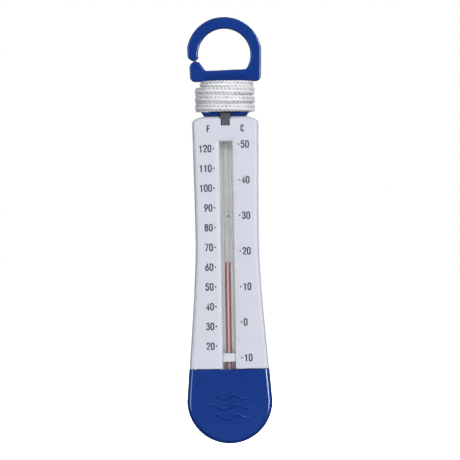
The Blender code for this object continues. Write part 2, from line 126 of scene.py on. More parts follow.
# Float housing
HOUSING_TOP = 153.1 * MM
HOUSING_BOTTOM = 35.1 * MM
HOUSING_HALF = 8.5 * MM
HOUSING_RIM = 2.2 * MM
FACE = -HOUSING_HALF
WAIST_HEIGHT = 95.0 * MM
WAIST_HALF = 14.8 * MM
SPLIT_Y = 1.0 * MM
SEAM = 0.08 * MM
SEAM_INSET = 1.2 * MM
RIDGE_ROOM = 0.15 * MM
WALL = 1.6 * MM
SPIGOT_BOTTOM = 26.0 * MM
CAVITY_BOTTOM = 28.0 * MM
CAVITY_TOP = 151.5 * MM
KEEL_HALF = 5.8 * MM
KEEL_BACK = 0.5 * MM
KEEL_TOP = 144.6 * MM
TROUGH_HALF = 5.7 * MM
TROUGH_FOOT = 3.2 * MM
TROUGH_FLOOR = FACE + 0.7 * MM
TROUGH_TOP = 143.6 * MM
TROUGH_END = 2.2 * MM
CHANNEL_LOW = 20 * MM
CHANNEL_TOP = 141.6 * MM
NOTCH_BOTTOM = 148.8 * MM
NOTCH_BACK = -5.0 * MM
NOTCH_HALF = 2.1 * MM
NOTCH_FLARE = 2.7 * MM
WEDGE_TOP = 154.9 * MM
LIP = 0.25 * MM
RIB = 0.18 * MM
RIB_HALF = 0.28 * MM
RIB_SPAN = (3.35 * MM, 5.2 * MM)
RIB_LOW = 44.0 * MM
RIB_HIGH = 140.6 * MM

# Scale: heights of 0 degrees Celsius and of one degree
ZERO_CELSIUS = 56.8 * MM
DEGREE_CELSIUS = 1.663 * MM
DEGREE_FAHRENHEIT = DEGREE_CELSIUS / 1.8
DIGIT_WIDTH = 1.25 * MM
DIGIT_HEIGHT = 3.05 * MM
DIGIT_PITCH = 2.05 * MM
STROKE = 0.33 * MM
INK = 0.05 * MM
FAHRENHEIT_EDGE = -6.65 * MM
FAHRENHEIT_DOT = (-5.75 * MM, 0.4 * MM)
CELSIUS_EDGE = 7.0 * MM
CELSIUS_DOT = (6.0 * MM, 0.39 * MM)
FAHRENHEIT_LETTER = (-8.5 * MM, 147.45 * MM)
CELSIUS_LETTER = (7.4 * MM, 147.5 * MM)
LETTER_WIDTH = 0.95 * MM
LETTER_HEIGHT = 2.8 * MM

# Cap
CAP_TOP = 34.7 * MM
CAP_RADIUS = 20.0 * MM
CAP_TOP_HALF = 18.8 * MM
CAP_HALF = 8.8 * MM
CAP_RIM = 2.6 * MM
SLOT_HALF = 1.2 * MM
SLOT_PITCH = 6.0 * MM
SLOT_ENDS = (12 * MM, 24 * MM)
WAVE_LENGTH = 23 * MM
WAVE_PITCH = 4.6 * MM
WAVE_HEIGHT = 17.5 * MM
WAVE_HALF = 0.95 * MM

# Spirit tube
TUBE_Y = -4.1 * MM
TUBE_RADIUS = 2.75 * MM
CHANNEL_RADIUS = TUBE_RADIUS + GAP
BORE = 0.95 * MM
COLUMN_RADIUS = 0.9 * MM
BULB_RADIUS = 1.7 * MM
TUBE_BOTTOM = 10.7 * MM
TUBE_TOP = 140.2 * MM
MARK_X = 0.85 * MM
MARK_HEIGHT = 106.4 * MM
MARK_RADIUS = 0.5 * MM
BULB_TOP = 25.5 * MM
COLUMN_TOP = 84.8 * MM
CLIP_LOW = 38.4 * MM
CLIP_HIGH = 42.3 * MM
CLIP_HALF = 2.75 * MM
CLIP_LUG = 4.2 * MM
CLIP_LUG_FRONT = -6.6 * MM
CLIP_LUG_BACK = -5.5 * MM

# Camera and lamps
CAMERA_AT = (1.38 * MM, -1.5, LOW + 99.9 * MM)
CAMERA_LENS = 249.8
CAMERA_LEAN = math.radians(0.95)
LAMP_AIM = Vector((0, 0, -0.09))

FAR = 60 * MM


# ---- outlines ----


def bow(x, z, across, up, start, end, steps=14):
    """Points on an ellipse from one angle to another, in degrees, both ends included."""
    turn = [math.radians(start + (end - start) * i / steps) for i in range(steps + 1)]
    return [(x + across * math.cos(a), z + up * math.sin(a)) for a in turn]


def arc(x, z, radius, start, end, steps):
    return bow(x, z, radius, radius, start, end, steps)


def rounded(corners, steps=12):
    """An outline through corners (x, z, radius), each corner turned into an arc of its radius."""
    points = []
    for i, (x, z, radius) in enumerate(corners):
        if radius == 0:
            points.append((x, z))
            continue
        ax, az = corners[i - 1][:2]
        bx, bz = corners[(i + 1) % len(corners)][:2]
        into = math.atan2(z - az, x - ax)
        away = math.atan2(bz - z, bx - x)
        bend = (away - into + math.pi) % (2 * math.pi) - math.pi
        back = radius * math.tan(abs(bend) / 2)
        side = math.copysign(1, bend)
        cx = x - back * math.cos(into) - side * radius * math.sin(into)
        cz = z - back * math.sin(into) + side * radius * math.cos(into)
        start = math.degrees(into) - side * 90
        points += arc(cx, cz, radius, start, start + math.degrees(bend), steps)
    return points


def plain(points):
    """The same points as sharp corners for rounded()."""
    return [(x, z, 0) for x, z in points]


def mirrored(points):
    """The points on the other side of the middle, in the opposite order."""
    return [(-x, *rest) for x, *rest in reversed(points)]


def rectangle(x_half, z_low, z_high):
    return [(-x_half, z_low), (x_half, z_low), (x_half, z_high), (-x_half, z_high)]


def stadium(x_half, y_half, steps=24):
    straight = x_half - y_half
    return arc(straight, 0, y_half, -90, 90, steps) + arc(-straight, 0, y_half, 90, 270, steps)


def half_width(z):
    """Half the housing's width: a waist that opens slowly upward and faster downward."""
    rise = z - WAIST_HEIGHT
    slope, blend = (0.017, 15 * MM) if rise > 0 else (0.085, 18 * MM)
    return WAIST_HALF + slope * (math.hypot(rise, blend) - blend)


def housing_outline(low, high, inset, shoulders=True):
    """Front outline of the housing between two heights, drawn in by inset."""
    steps = 30
    side_top = high - 1.5 * MM
    heights = [low + (side_top - low) * i / steps for i in range(steps + 1)]
    right = plain([(half_width(z) - inset, z) for z in heights[:-1]])
    if shoulders:
        corner = half_width(side_top) - inset
        right += [(corner, side_top, 2.6 * MM), (corner - 5.2 * MM, high, 6 * MM)]
    else:
        right.append((half_width(high) - inset, high, 0))
    return rounded(right + mirrored(right))


def cap_outline(inset, top):
    side = CAP_TOP_HALF - inset
    bottom = arc(0, CAP_RADIUS, CAP_RADIUS - inset, 180, 360, 96)
    return [(-side, top)] + bottom + [(side, top)]


def hook_outline():
    """The whole hook: bar, right column, ring, and the nose that closes onto the knob."""
    outer = arc(0, RING_HEIGHT, RING_OUTER, 10.5, 168, 96)
    inner = arc(0, RING_HEIGHT, RING_INNER, 180, -28, 96)
    corners = [(-16.2 * MM, BAR_BOTTOM, 2.6 * MM), (17.0 * MM, BAR_BOTTOM, 2.6 * MM)]
    corners += plain(outer)
    corners += [
        (-17.25 * MM, 180.9 * MM, 2.4 * MM),
        (-14.1 * MM, 179.15 * MM, 1.0 * MM),
        (-11.9 * MM, 180.9 * MM, 1.6 * MM),
    ]
    corners += plain(inner)
    corners += [
        (10.1 * MM, 175.42 * MM, 0.9 * MM),
        (-8.9 * MM, 174.85 * MM, 1.5 * MM),
        (-11.8 * MM, 179.3 * MM, 2.5 * MM),
        (-16.5 * MM, 179.3 * MM, 3.2 * MM),
    ]
    return rounded(corners)


def notch_outline(inset):
    flare_height = NOTCH_BOTTOM + 2.8 * MM
    top = HOUSING_TOP + 3 * MM if inset == 0 else WEDGE_TOP
    half = NOTCH_HALF - inset
    flare = NOTCH_FLARE - inset
    right = [(half, NOTCH_BOTTOM + inset), (half, flare_height)]
    right += [(flare, HOUSING_TOP - 0.6 * MM), (flare, top)]
    return right + mirrored(right)


def smooth(share):
    share = min(1.0, max(0.0, share))
    return share * share * (3 - 2 * share)


# ---- meshes ----


def finished_mesh(name, bm):
    bmesh.ops.recalc_face_normals(bm, faces=bm.faces)
    mesh = bpy.data.meshes.new(name)
    bm.to_mesh(mesh)
    bm.free()
    return mesh


def slab(name, outline, low, high, rim=0, rim_steps=6, open_end=None, upright=False):
    """An outline pushed from low to high, with both ends' rims rounded by the radius rim.

    The outline lies in XZ and is pushed along Y; with upright it lies in XY and is pushed
    along Z. A rim edge that lies level at the height open_end stays sharp.
    """
    bm = bmesh.new()
    place = (lambda a, b, c: (a, b, c)) if upright else (lambda a, b, c: (a, c, b))
    ends = [[bm.verts.new(place(a, b, level)) for a, b in outline] for level in (low, high)]
    rims = []
    for end in ends:
        rims += bm.faces.new(end).edges
    for i, corner in enumerate(ends[0]):
        bm.faces.new((corner, ends[0][i - 1], ends[1][i - 1], ends[1][i]))
    bmesh.ops.recalc_face_normals(bm, faces=bm.faces)
    if rim:
        if open_end is not None:
            rims = [e for e in rims if any(abs(v.co.z - open_end) > 0.01 * MM for v in e.verts)]
        bmesh.ops.bevel(
            bm, geom=rims, offset=rim, segments=rim_steps, profile=0.5, affect="EDGES"
        )
    return finished_mesh(name, bm)


def turned(name, profile, steps=64):
    """A mesh turned about Z from profile points (radius, height), both ends on the axis."""
    bm = bmesh.new()
    rings = []
    for radius, z in profile:
        count = steps if radius > 0 else 1
        turn = [2 * math.pi * i / steps for i in range(count)]
        rings.append([bm.verts.new((radius * math.cos(a), radius * math.sin(a), z)) for a in turn])
    for lower, upper in zip(rings, rings[1:]):
        for i in range(steps):
            j = (i + 1) % steps
            ring = [lower[i % len(lower)], lower[j % len(lower)]]
            ring += [upper[j % len(upper)], upper[i % len(upper)]]
            bm.faces.new(list(dict.fromkeys(ring)))
    return finished_mesh(name, bm)


def box(name, x, y, z):
    """A mesh with square corners between the limits given for each axis."""
    return slab(name, [(x[0], z[0]), (x[1], z[0]), (x[1], z[1]), (x[0], z[1])], *y)


def sweep(name, rings):
    """A closed tube through rings, an array of (ring, point, xyz), with flat ends."""
    count, around = rings.shape[:2]
    verts = rings.reshape(-1, 3)
    i = np.arange(count - 1)[:, None] * around
    j = np.arange(around)[None, :]
    k = (j + 1) % around
    quads = np.stack([i + j, i + k, i + around + k, i + around + j], -1).reshape(-1, 4)
    faces = quads.tolist()
    faces.append(list(range(around))[::-1])
    faces.append(list(range((count - 1) * around, count * around)))
    mesh = bpy.data.meshes.new(name)
    mesh.from_pydata(verts.tolist(), [], faces)
    return mesh


def joined(name, meshes):
    """One mesh from several, which are used up."""
    bm = bmesh.new()
    for mesh in meshes:
        bm.from_mesh(mesh)
        bpy.data.meshes.remove(mesh)
    whole = bpy.data.meshes.new(name)
    bm.to_mesh(whole)
    bm.free()
    return whole


def combine(piece, mesh, operation="DIFFERENCE"):
    """Cuts a mesh out of a piece, or joins it on with UNION, and uses it up."""
    tool = bpy.data.objects.new("tool", mesh)
    bpy.context.scene.collection.objects.link(tool)
    step = piece.modifiers.new("combine", "BOOLEAN")
    step.operation = operation
    step.object = tool
    graph = bpy.context.evaluated_depsgraph_get()
    result = bpy.data.meshes.new_from_object(piece.evaluated_get(graph))
    piece.modifiers.clear()
    before = piece.data
    piece.data = result
    bpy.data.objects.remove(tool)
    bpy.data.meshes.remove(mesh)
    bpy.data.meshes.remove(before)


def new_object(name, mesh):
    piece = bpy.data.objects.new(name, mesh)
    bpy.context.scene.collection.objects.link(piece)
    return piece


def place(piece, look, slot, replaced=(), body=FLOAT, sharp=35, flat_ends=True):
    """Lets a piece down into the frame, shades it, and says what it rides on and stands for."""
    mesh = piece.data
    mesh.name = piece.name
    mesh.transform(Matrix.Translation((0, 0, LOW)))
    mesh.materials.clear()
    mesh.materials.append(look)
    mesh.shade_smooth()
    mesh.set_sharp_from_angle(angle=math.radians(sharp))
    if flat_ends:
        normals = piece.modifiers.new("normals", "WEIGHTED_NORMAL")
        normals.keep_sharp = True
    if body:
        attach(piece, body)
    if replaced:
        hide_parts(*replaced)
    return piece


# ---- materials ----


def node(look, kind, inputs=(), **settings):
    """A shader node with its settings, and its inputs set to values or linked to sockets."""
    made = look.node_tree.nodes.new(kind)
    for name, value in settings.items():
        setattr(made, name, value)
    for socket, value in dict(inputs).items():
        if isinstance(value, bpy.types.NodeSocket):
            look.node_tree.links.new(value, made.inputs[socket])
        else:
            made.inputs[socket].default_value = value
    return made


def new_look(name, **shader):
    """A material and its shader, with inputs set by name; _ stands for a space."""
    look = bpy.data.materials.new(name)
    look.use_nodes = True
    principled = look.node_tree.nodes["Principled BSDF"]
    for socket, value in shader.items():
        principled.inputs[socket.replace("_", " ")].default_value = value
    return look, principled


def link(look, source, target):
    look.node_tree.links.new(source, target)


def noise(look, size, detail=3.0, stretch=(1, 1, 1)):
    """Noise of a given feature size in metres, fixed to the object; stretch shrinks it per axis."""
    where = node(look, "ShaderNodeTexCoord").outputs["Object"]
    scaled = node(look, "ShaderNodeMapping", {"Vector": where, "Scale": stretch}).outputs[0]
    inputs = {"Vector": scaled, "Scale": 1 / size, "Detail": detail}
    return node(look, "ShaderNodeTexNoise", inputs).outputs["Fac"]


def ramp(look, source, low, high, to_low, to_high):
    """A value mapped from one span to another, and kept within it."""
    inputs = {"Value": source, 1: low, 2: high, 3: to_low, 4: to_high}
    return node(look, "ShaderNodeMapRange", inputs, clamp=True).outputs[0]


def mix(look, share, a, b):
    made = node(look, "ShaderNodeMix", {0: share, 6: a, 7: b}, data_type="RGBA")
    return made.outputs[2]


def calculated(look, operation, *values):
    return node(look, "ShaderNodeMath", enumerate(values), operation=operation).outputs[0]


def from_middle(look):
    """Distance to the right of the object's middle plane."""
    where = node(look, "ShaderNodeTexCoord").outputs["Object"]
    return node(look, "ShaderNodeSeparateXYZ", {"Vector": where}).outputs[0]


def shade(colour, factor):
    return (*[min(1.0, c * factor) for c in colour], 1.0)


def bump(look, principled, height, distance):
    made = node(look, "ShaderNodeBump", {"Height": height, "Distance": distance, "Strength": 1.0})
    link(look, made.outputs[0], principled.inputs["Normal"])


def moulded(name, colour, roughness, mottle=0.06, grain=0.004 * MM, **shader):
    """Moulded plastic: cloudy colour, fine texture of the tool, handling marks in the gloss."""
    look, principled = new_look(name, **shader)
    clouds = noise(look, 14 * MM, 4.0)
    shares = ramp(look, clouds, 0.3, 0.7, 0.0, 1.0)
    tone = mix(look, shares, shade(colour, 1 - mottle), shade(colour, 1 + mottle))
    link(look, tone, principled.inputs["Base Color"])
    rubs = noise(look, 5 * MM, 5.0, (1, 1, 0.35))
    link(look, ramp(look, rubs, 0.25, 0.75, roughness * 0.82, roughness * 1.22),
         principled.inputs["Roughness"])
    bump(look, principled, noise(look, 0.35 * MM, 2.0), grain)
    return look


def cord_look():
    """Braided cord: bright fibres on each stitch, and painted shade, grey, down between the
    stitches.
    """
    look, principled = new_look("braided_cord", Sheen_Weight=0.25, Sheen_Roughness=0.5)
    depth = node(look, "ShaderNodeAttribute", attribute_name="groove").outputs["Fac"]
    fibres = noise(look, 0.22 * MM, 4.0, (1, 1, 0.3))
    clean = mix(look, fibres, (0.74, 0.74, 0.76, 1), (0.91, 0.905, 0.925, 1))
    dirt = ramp(look, noise(look, 6 * MM, 3.0), 0.5, 0.8, 0.0, 0.12)
    worn = mix(look, dirt, clean, (0.55, 0.53, 0.50, 1))
    patchy = ramp(look, noise(look, 1.5 * MM, 2.0), 0.35, 0.65, 0.4, 1.0)
    # Painted shade: the groove attribute, broken up by patchy noise, darkens the cord between the
    # stitches.
    shadow = calculated(look, "MULTIPLY", depth, patchy)
    tone = mix(look, shadow, worn, (0.17, 0.17, 0.2, 1))
    link(look, tone, principled.inputs["Base Color"])
    link(look, ramp(look, fibres, 0.2, 0.8, 0.6, 0.9), principled.inputs["Roughness"])
    bump(look, principled, fibres, 0.05 * MM)
    return look


def glass_look():
    look, principled = new_look(
        "clear_glass", IOR=1.47, Transmission_Weight=0.85, Base_Color=(0.97, 0.967, 0.955, 1),
        Specular_IOR_Level=0.1,
    )
    smears = noise(look, 7 * MM, 3.0)
    link(look, ramp(look, smears, 0.3, 0.7, 0.02, 0.06), principled.inputs["Roughness"])
    return look


def bore_look():
    """The wall of the bore: clear where it faces the eye, with a faint pale line there as painted
    highlight, and grey where it is seen edge on, as painted shade.
    """
    look, principled = new_look("bore_wall", Roughness=0.4)
    streaks = noise(look, 1.0 * MM, 2.0, (1, 1, 0.05))
    grey = mix(look, streaks, (0.14, 0.10, 0.11, 1), (0.19, 0.145, 0.155, 1))
    edge_on = node(look, "ShaderNodeLayerWeight", {"Blend": 0.5}).outputs["Facing"]
    tone = mix(look, ramp(look, edge_on, 0.1, 0.2, 0.0, 1.0), (0.9, 0.9, 0.88, 1), grey)
    link(look, tone, principled.inputs["Base Color"])
    # Painted shade: up to half grey where the bore is seen edge on; painted highlight: a fifth pale
    # where it faces the eye.
    edge = ramp(look, edge_on, 0.35, 0.85, 0.0, 0.5)
    middle = ramp(look, edge_on, 0.02, 0.09, 0.2, 0.0)
    share = calculated(look, "ADD", edge, middle)
    clear = node(look, "ShaderNodeBsdfTransparent", {"Color": (1, 1, 1, 1)}).outputs[0]
    inputs = {0: share, 1: clear, 2: principled.outputs[0]}
    both = node(look, "ShaderNodeMixShader", inputs).outputs[0]
    link(look, both, look.node_tree.nodes["Material Output"].inputs["Surface"])
    return look


def spirit_look():
    """Red spirit: a painted highlight, a light stripe down the middle such as the bore's round back
    gives, and darker red toward the sides.
    """
    look, principled = new_look("red_spirit", Roughness=0.25)
    off = calculated(look, "ABSOLUTE", from_middle(look))
    wander = ramp(look, noise(look, 6 * MM, 2.0), 0.3, 0.7, -0.05 * MM, 0.05 * MM)
    edge = calculated(look, "ADD", off, wander)
    # Painted highlight: pink near the middle plane, turning to darker red from 0.2 to 0.42 mm off
    # it.
    share = ramp(look, edge, 0.2 * MM, 0.42 * MM, 0.0, 1.0)
    tone = mix(look, share, (0.88, 0.36, 0.38, 1), (0.2, 0.035, 0.04, 1))
    link(look, tone, principled.inputs["Base Color"])
    return look


def rubber_look():
    # Dark grey rubber for the gasket and the seat; on the notch wedge the same dark grey is painted
    # shade.
    look, principled = new_look("grey_rubber")
    bloom = ramp(look, noise(look, 1.6 * MM, 5.0), 0.35, 0.7, 0.0, 1.0)
    tone = mix(look, bloom, (0.038, 0.033, 0.04, 1), (0.10, 0.093, 0.107, 1))
    link(look, tone, principled.inputs["Base Color"])
    link(look, ramp(look, bloom, 0, 1, 0.45, 0.75), principled.inputs["Roughness"])
    bump(look, principled, noise(look, 0.3 * MM, 3.0), 0.03 * MM)
    return look


def enamel_look():
    """The channel's surface behind the tube: painted lighter than the shell as painted light, and
    darker to the left as painted shade, with a faint random mottle.
    """
    look, principled = new_look("channel_painted_light", Roughness=0.4)
    # Painted shade: darker from right to left across the middle plane.
    share = ramp(look, from_middle(look), -1.2 * MM, 1.2 * MM, 0.0, 1.0)
    mottle = ramp(look, noise(look, 9 * MM, 2.0), 0.3, 0.7, -0.08, 0.08)
    share = calculated(look, "ADD", share, mottle)
    tone = mix(look, share, (0.66, 0.67, 0.71, 1), (0.86, 0.875, 0.87, 1))
    link(look, tone, principled.inputs["Base Color"])
    return look


def foam_look():
    look, principled = new_look("closed_foam", Roughness=0.95)
    cells = node(look, "ShaderNodeTexVoronoi", {"Scale": 1 / (1.1 * MM)}).outputs["Distance"]
    tone = mix(look, cells, (0.66, 0.66, 0.63, 1), (0.86, 0.86, 0.83, 1))
    link(look, tone, principled.inputs["Base Color"])
    bump(look, principled, cells, 0.2 * MM)
    return look


def steel_look():
    look, principled = new_look("ballast_steel", Metallic=1.0)
    brushed = noise(look, 0.4 * MM, 4.0, (0.06, 1, 1))
    tone = mix(look, brushed, (0.36, 0.36, 0.37, 1), (0.56, 0.56, 0.57, 1))
    link(look, tone, principled.inputs["Base Color"])
    link(look, ramp(look, brushed, 0.2, 0.8, 0.3, 0.5), principled.inputs["Roughness"])
    bump(look, principled, brushed, 0.01 * MM)
    return look


# ---- cord ----


def around_core(degrees, reach, height):
    """A point on the oval round the core: reach is its half depth, and the ends are rounds."""
    c, s = math.cos(math.radians(degrees)), math.sin(math.radians(degrees))
    return (CORE_STRAIGHT * math.tanh(3 * c) + reach * c, reach * s, height)


def first_layer_point(degrees, start, end):
    """Turns close against the core, rising from the hole's height to the top."""
    rise = (degrees - start) / (end - start)
    settle = smooth((degrees - start) / 30)
    reach = FIRST_LAYER - 0.55 * MM * (1 - settle)
    low = CORD_HOLE_HEIGHT - 2 * MM * settle
    return around_core(degrees, reach, low + (RIGHT_ROWS[0] - low) * rise)


def second_layer_point(degrees, start):
    """Turns on top of the first, from the top down; each drops to the next row behind."""
    turned_by = degrees - start
    half = int(turned_by // 180)
    sides = [row for pair in zip(RIGHT_ROWS, LEFT_ROWS) for row in pair] + RIGHT_ROWS[-1:]
    upper, lower = sides[half], sides[min(half + 1, len(sides) - 1)]
    height = upper + (lower - upper) * smooth((turned_by % 180) / 180)
    climb = smooth(turned_by / 480)
    reach = FIRST_LAYER + (SECOND_LAYER - FIRST_LAYER) * climb
    return around_core(degrees, reach, height)


def tail_run():
    """The tail: a quarter turn from along the winding to straight down, moving backward."""
    start_y = SECOND_LAYER
    knot_y = HOUSING_HALF + GAP + KNOT_RADIUS
    arc_length = TAIL_BEND * math.pi / 2
    straight = TAIL_HEIGHT - TAIL_BEND - KNOT_TOP
    run = [math.radians(90 * i / 12) for i in range(13)]
    places = [(TAIL_BEND * math.sin(a), TAIL_BEND * (1 - math.cos(a)), TAIL_BEND * a) for a in run]
    places += [(TAIL_BEND, TAIL_BEND + straight * i / 4, arc_length + straight * i / 4)
               for i in range(1, 6)]
    points = []
    for left, down, travelled in places:
        back = smooth(travelled / (arc_length + straight))
        points.append((TAIL_X - left, start_y + (knot_y - start_y) * back, TAIL_HEIGHT - down))
    return points


def cord_route():
    """The whole cord: out of the core's hole, two layers of turns, and the tail behind."""
    step = 10
    start = 88
    change = 4 * 360
    end = 8 * 360 + 52
    route = [first_layer_point(a, start, change) for a in range(start, change, step)]
    route += [second_layer_point(a, change) for a in range(change, end, step)]
    return route + tail_run()


def spaced(points, step):
    """Even samples (point, xyz) of the smooth curve through points, and their distances along it."""
    p = np.array(points, float)
    ends = np.vstack([2 * p[0] - p[1], p, 2 * p[-1] - p[-2]])
    dense = []
    for a, b, c, d in zip(ends, ends[1:], ends[2:], ends[3:]):
        for t in np.arange(0, 1, 0.1):
            dense.append(0.5 * (2 * b + (c - a) * t + (2 * a - 5 * b + 4 * c - d) * t ** 2
                                + (3 * b - a - 3 * c + d) * t ** 3))
    dense = np.array(dense + [p[-1]])
    for _ in range(40):
        dense[1:-1] = (dense[:-2] + 2 * dense[1:-1] + dense[2:]) / 4
    length = np.concatenate([[0], np.cumsum(np.linalg.norm(np.diff(dense, axis=0), axis=1))])
    marks = np.linspace(0, length[-1], int(length[-1] / step) + 1)
    return np.stack([np.interp(marks, length, dense[:, k]) for k in range(3)], 1), marks


def braided(name, points, radius, step=0.24 * MM, around=42, melted=0.0):
    """A braided tube along points: six columns of slanted stitches, which turn slowly about it.

    It is squarish, as cord pressed against its neighbours is. Its point attribute groove is 1
    between the stitches and 0 on them. melted is the length over which its last end rounds off.
    """
    line, run = spaced(points, step)
    along = np.gradient(line, axis=0)
    along /= np.linalg.norm(along, axis=1)[:, None]
    up = np.array([0, 0, 1.0])
    top = np.zeros_like(along)
    carried = np.array([1.0, 0, 0])
    for i, way in enumerate(along):
        level = abs(way @ up) < 0.8
        carried = up - way * (way @ up) if level else carried - way * (carried @ way)
        carried /= np.linalg.norm(carried)
        top[i] = carried
    side = np.cross(along, top)

    round_share = np.arange(around)[None, :] / around
    column = STITCH_COLUMNS * (round_share + run[:, None] / BRAID_TURN)
    odd = np.floor(column) % 2
    u = column % 1
    slant = np.where(odd > 0, 1, -1) * STITCH_SLANT
    stitch = (run[:, None] / STITCH_PITCH + slant * (u - 0.5)) % 1
    bulge = np.sqrt(1 - (2 * stitch - 1) ** 2) ** 0.9 * (1 - np.abs(2 * u - 1) ** 3)
    off_end = np.minimum(stitch, 1 - stitch) / 0.24
    off_side = np.minimum(u, 1 - u) / 0.24
    hole = np.exp(-off_end ** 2 - off_side ** 2)
    reach = radius * (0.74 + 0.25 * bulge - 0.06 * hole)
    if melted:
        left = (run[-1] - run) / melted
        dome = np.clip(left * (2 - left), 0, 1) * (left < 1) + (left >= 1)
        reach = reach * np.sqrt(dome)[:, None]
    angle = 2 * np.pi * round_share
    swell = np.abs(np.cos(angle)) ** SQUARENESS + np.abs(np.sin(angle)) ** SQUARENESS
    reach = reach * swell ** (-1 / SQUARENESS)
    rings = (line[:, None, :] + (reach * np.cos(angle))[..., None] * side[:, None, :]
             + (FLATTENING * reach * np.sin(angle))[..., None] * top[:, None, :])
    mesh = sweep(name, rings)
    groove = mesh.attributes.new("groove", "FLOAT", "POINT")
    groove.data.foreach_set("value", np.clip(0.75 - 0.95 * bulge + 0.55 * hole, 0, 1).ravel())
    return mesh, line


def add_cord(look):
    mesh, line = braided("tether_cord", cord_route(), CORD / 2)
    cord = place(new_object("tether_cord", mesh), look, "white_cord",
                 ("cord_winding", "cord_tail", "cord_anchor_end"), sharp=80, flat_ends=False)
    knot = add_knot(look)


def add_knot(look):
    """A barrel knot: wraps round the cord's end, one strand laid back over them, a melted tip."""
    wrap = KNOT_RADIUS - STRAND
    reach = KNOT_HALF - STRAND
    centre_y = HOUSING_HALF + GAP + KNOT_RADIUS
    centre = np.array([TAIL_X - TAIL_BEND, centre_y, KNOT_TOP - KNOT_HALF])
    wraps = [(0.2 * wrap, 0, reach)]
    for i in range(49):
        a = math.radians(-60 + 900 * i / 48)
        wraps.append((wrap * math.cos(a), wrap * math.sin(a), reach * (1 - 2 * i / 48)))
    over = [(-0.9 * wrap, 1.0 * wrap, -0.75 * reach), (-0.45 * wrap, 1.5 * wrap, -0.2 * reach),
            (0.35 * wrap, 1.5 * wrap, 0.45 * reach), (0.5 * wrap, 0.8 * wrap, reach),
            (0, 0, 0.8 * reach)]
    core = [(0, 0, reach * (1 - i / 5)) for i in range(14)]
    meshes = [
        braided("wraps", np.array(wraps + over) + centre, STRAND, around=30)[0],
        braided("core_strand", np.array(core) + centre, STRAND, around=30, melted=1.2 * MM)[0],
    ]
    return place(new_object("end_knot", joined("end_knot", meshes)), look, "white_cord",
                 ("cord_end_knot",), sharp=80, flat_ends=False)


# ---- hook and spool ----


def add_hook(look):
    """The hook in two: its foot stays on the float, and its springy ring, which bends at the column
    on the real thing, is cut off there as a piece of its own.
    """
    whole = slab("hook_foot", hook_outline(), -HOOK_HALF, HOOK_HALF, HOOK_RIM)
    foot = new_object("hook_foot", whole)
    ring = new_object("hook_ring", foot.data.copy())
    combine(foot, box("above", (0, FAR), (-FAR, FAR), (HOOK_SEAM, HOOK_SEAM + FAR)))
    combine(foot, box("above_left", (-FAR, MM), (-FAR, FAR), (NOSE_GAP_HEIGHT, HOOK_SEAM + FAR)))
    combine(ring, box("below", (0, FAR), (-FAR, FAR), (HOOK_SEAM - FAR, HOOK_SEAM)))
    below = (NOSE_GAP_HEIGHT - FAR, NOSE_GAP_HEIGHT)
    combine(ring, box("below_left", (-FAR, MM), (-FAR, FAR), below))
    place(foot, look, "blue_plastic", ("hook_base",))
    place(ring, look, "blue_plastic", ("hook_arm",), body=None)
    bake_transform(ring)


def add_spool(look):
    """The core that the cord is wound on, the flange under it and the hollow plug below."""
    core_outline = stadium(CORE_HALF, CORE_DEPTH)
    core = slab("core", core_outline, FLANGE_BOTTOM, BAR_BOTTOM + 0.2 * MM, upright=True)
    spool = new_object("cord_spool", core)
    flange_outline = [(-9.9 * MM, FLANGE_BOTTOM), (9.9 * MM, FLANGE_BOTTOM)]
    flange_outline += [(11.1 * MM, FLANGE_TOP), (-11.1 * MM, FLANGE_TOP)]
    combine(spool, slab("flange", flange_outline, -FLANGE_HALF, FLANGE_HALF, 0.4 * MM), "UNION")
    side = NOTCH_FLARE + GAP
    room = box("wedge_room", (-side, side), (-FAR, -CORE_DEPTH), (0, FLANGE_TOP + MM))
    combine(spool, room)
    plug_outline = rectangle(PLUG_HALF, PLUG_BOTTOM, FLANGE_TOP - 0.5 * MM)
    combine(spool, slab("plug", plug_outline, -PLUG_DEPTH, PLUG_DEPTH), "UNION")
    hollow_outline = rectangle(PLUG_HALF - PLUG_WALL, PLUG_BOTTOM - MM, FLANGE_BOTTOM - PLUG_WALL)
    hollow_half = PLUG_DEPTH - PLUG_WALL
    combine(spool, slab("hollow", hollow_outline, -hollow_half, hollow_half))
    hole = arc(CORD_HOLE_X, CORD_HOLE_HEIGHT, CORD_HOLE, 0, 360, 32)[:-1]
    combine(spool, slab("cord_hole", hole, -8 * MM, 8 * MM))
    place(spool, look, "blue_plastic", ("hook_base",))


# ---- housing ----


def housing_block(name):
    """The outside of the housing with the spigot that the cap slides onto."""
    outline = housing_outline(HOUSING_BOTTOM, HOUSING_TOP, 0)
    block = new_object(name, slab(name, outline, -HOUSING_HALF, HOUSING_HALF, HOUSING_RIM, 10,
                                  open_end=HOUSING_BOTTOM))
    inset = WALL + GAP
    outline = housing_outline(SPIGOT_BOTTOM, HOUSING_BOTTOM + 4 * MM, inset, shoulders=False)
    half = CAP_HALF - inset
    combine(block, slab("spigot", outline, -half, half), "UNION")
    return block


def housing_cavity():
    outline = housing_outline(CAVITY_BOTTOM, CAVITY_TOP, WALL + GAP + WALL)
    half = HOUSING_HALF - WALL
    return slab("cavity", outline, -half, half)


def plug_hole():
    half = PLUG_DEPTH + GAP
    outline = rectangle(PLUG_HALF + GAP, CAVITY_TOP - 4 * MM, HOUSING_TOP + 4 * MM)
    return slab("plug_hole", outline, -half, half)


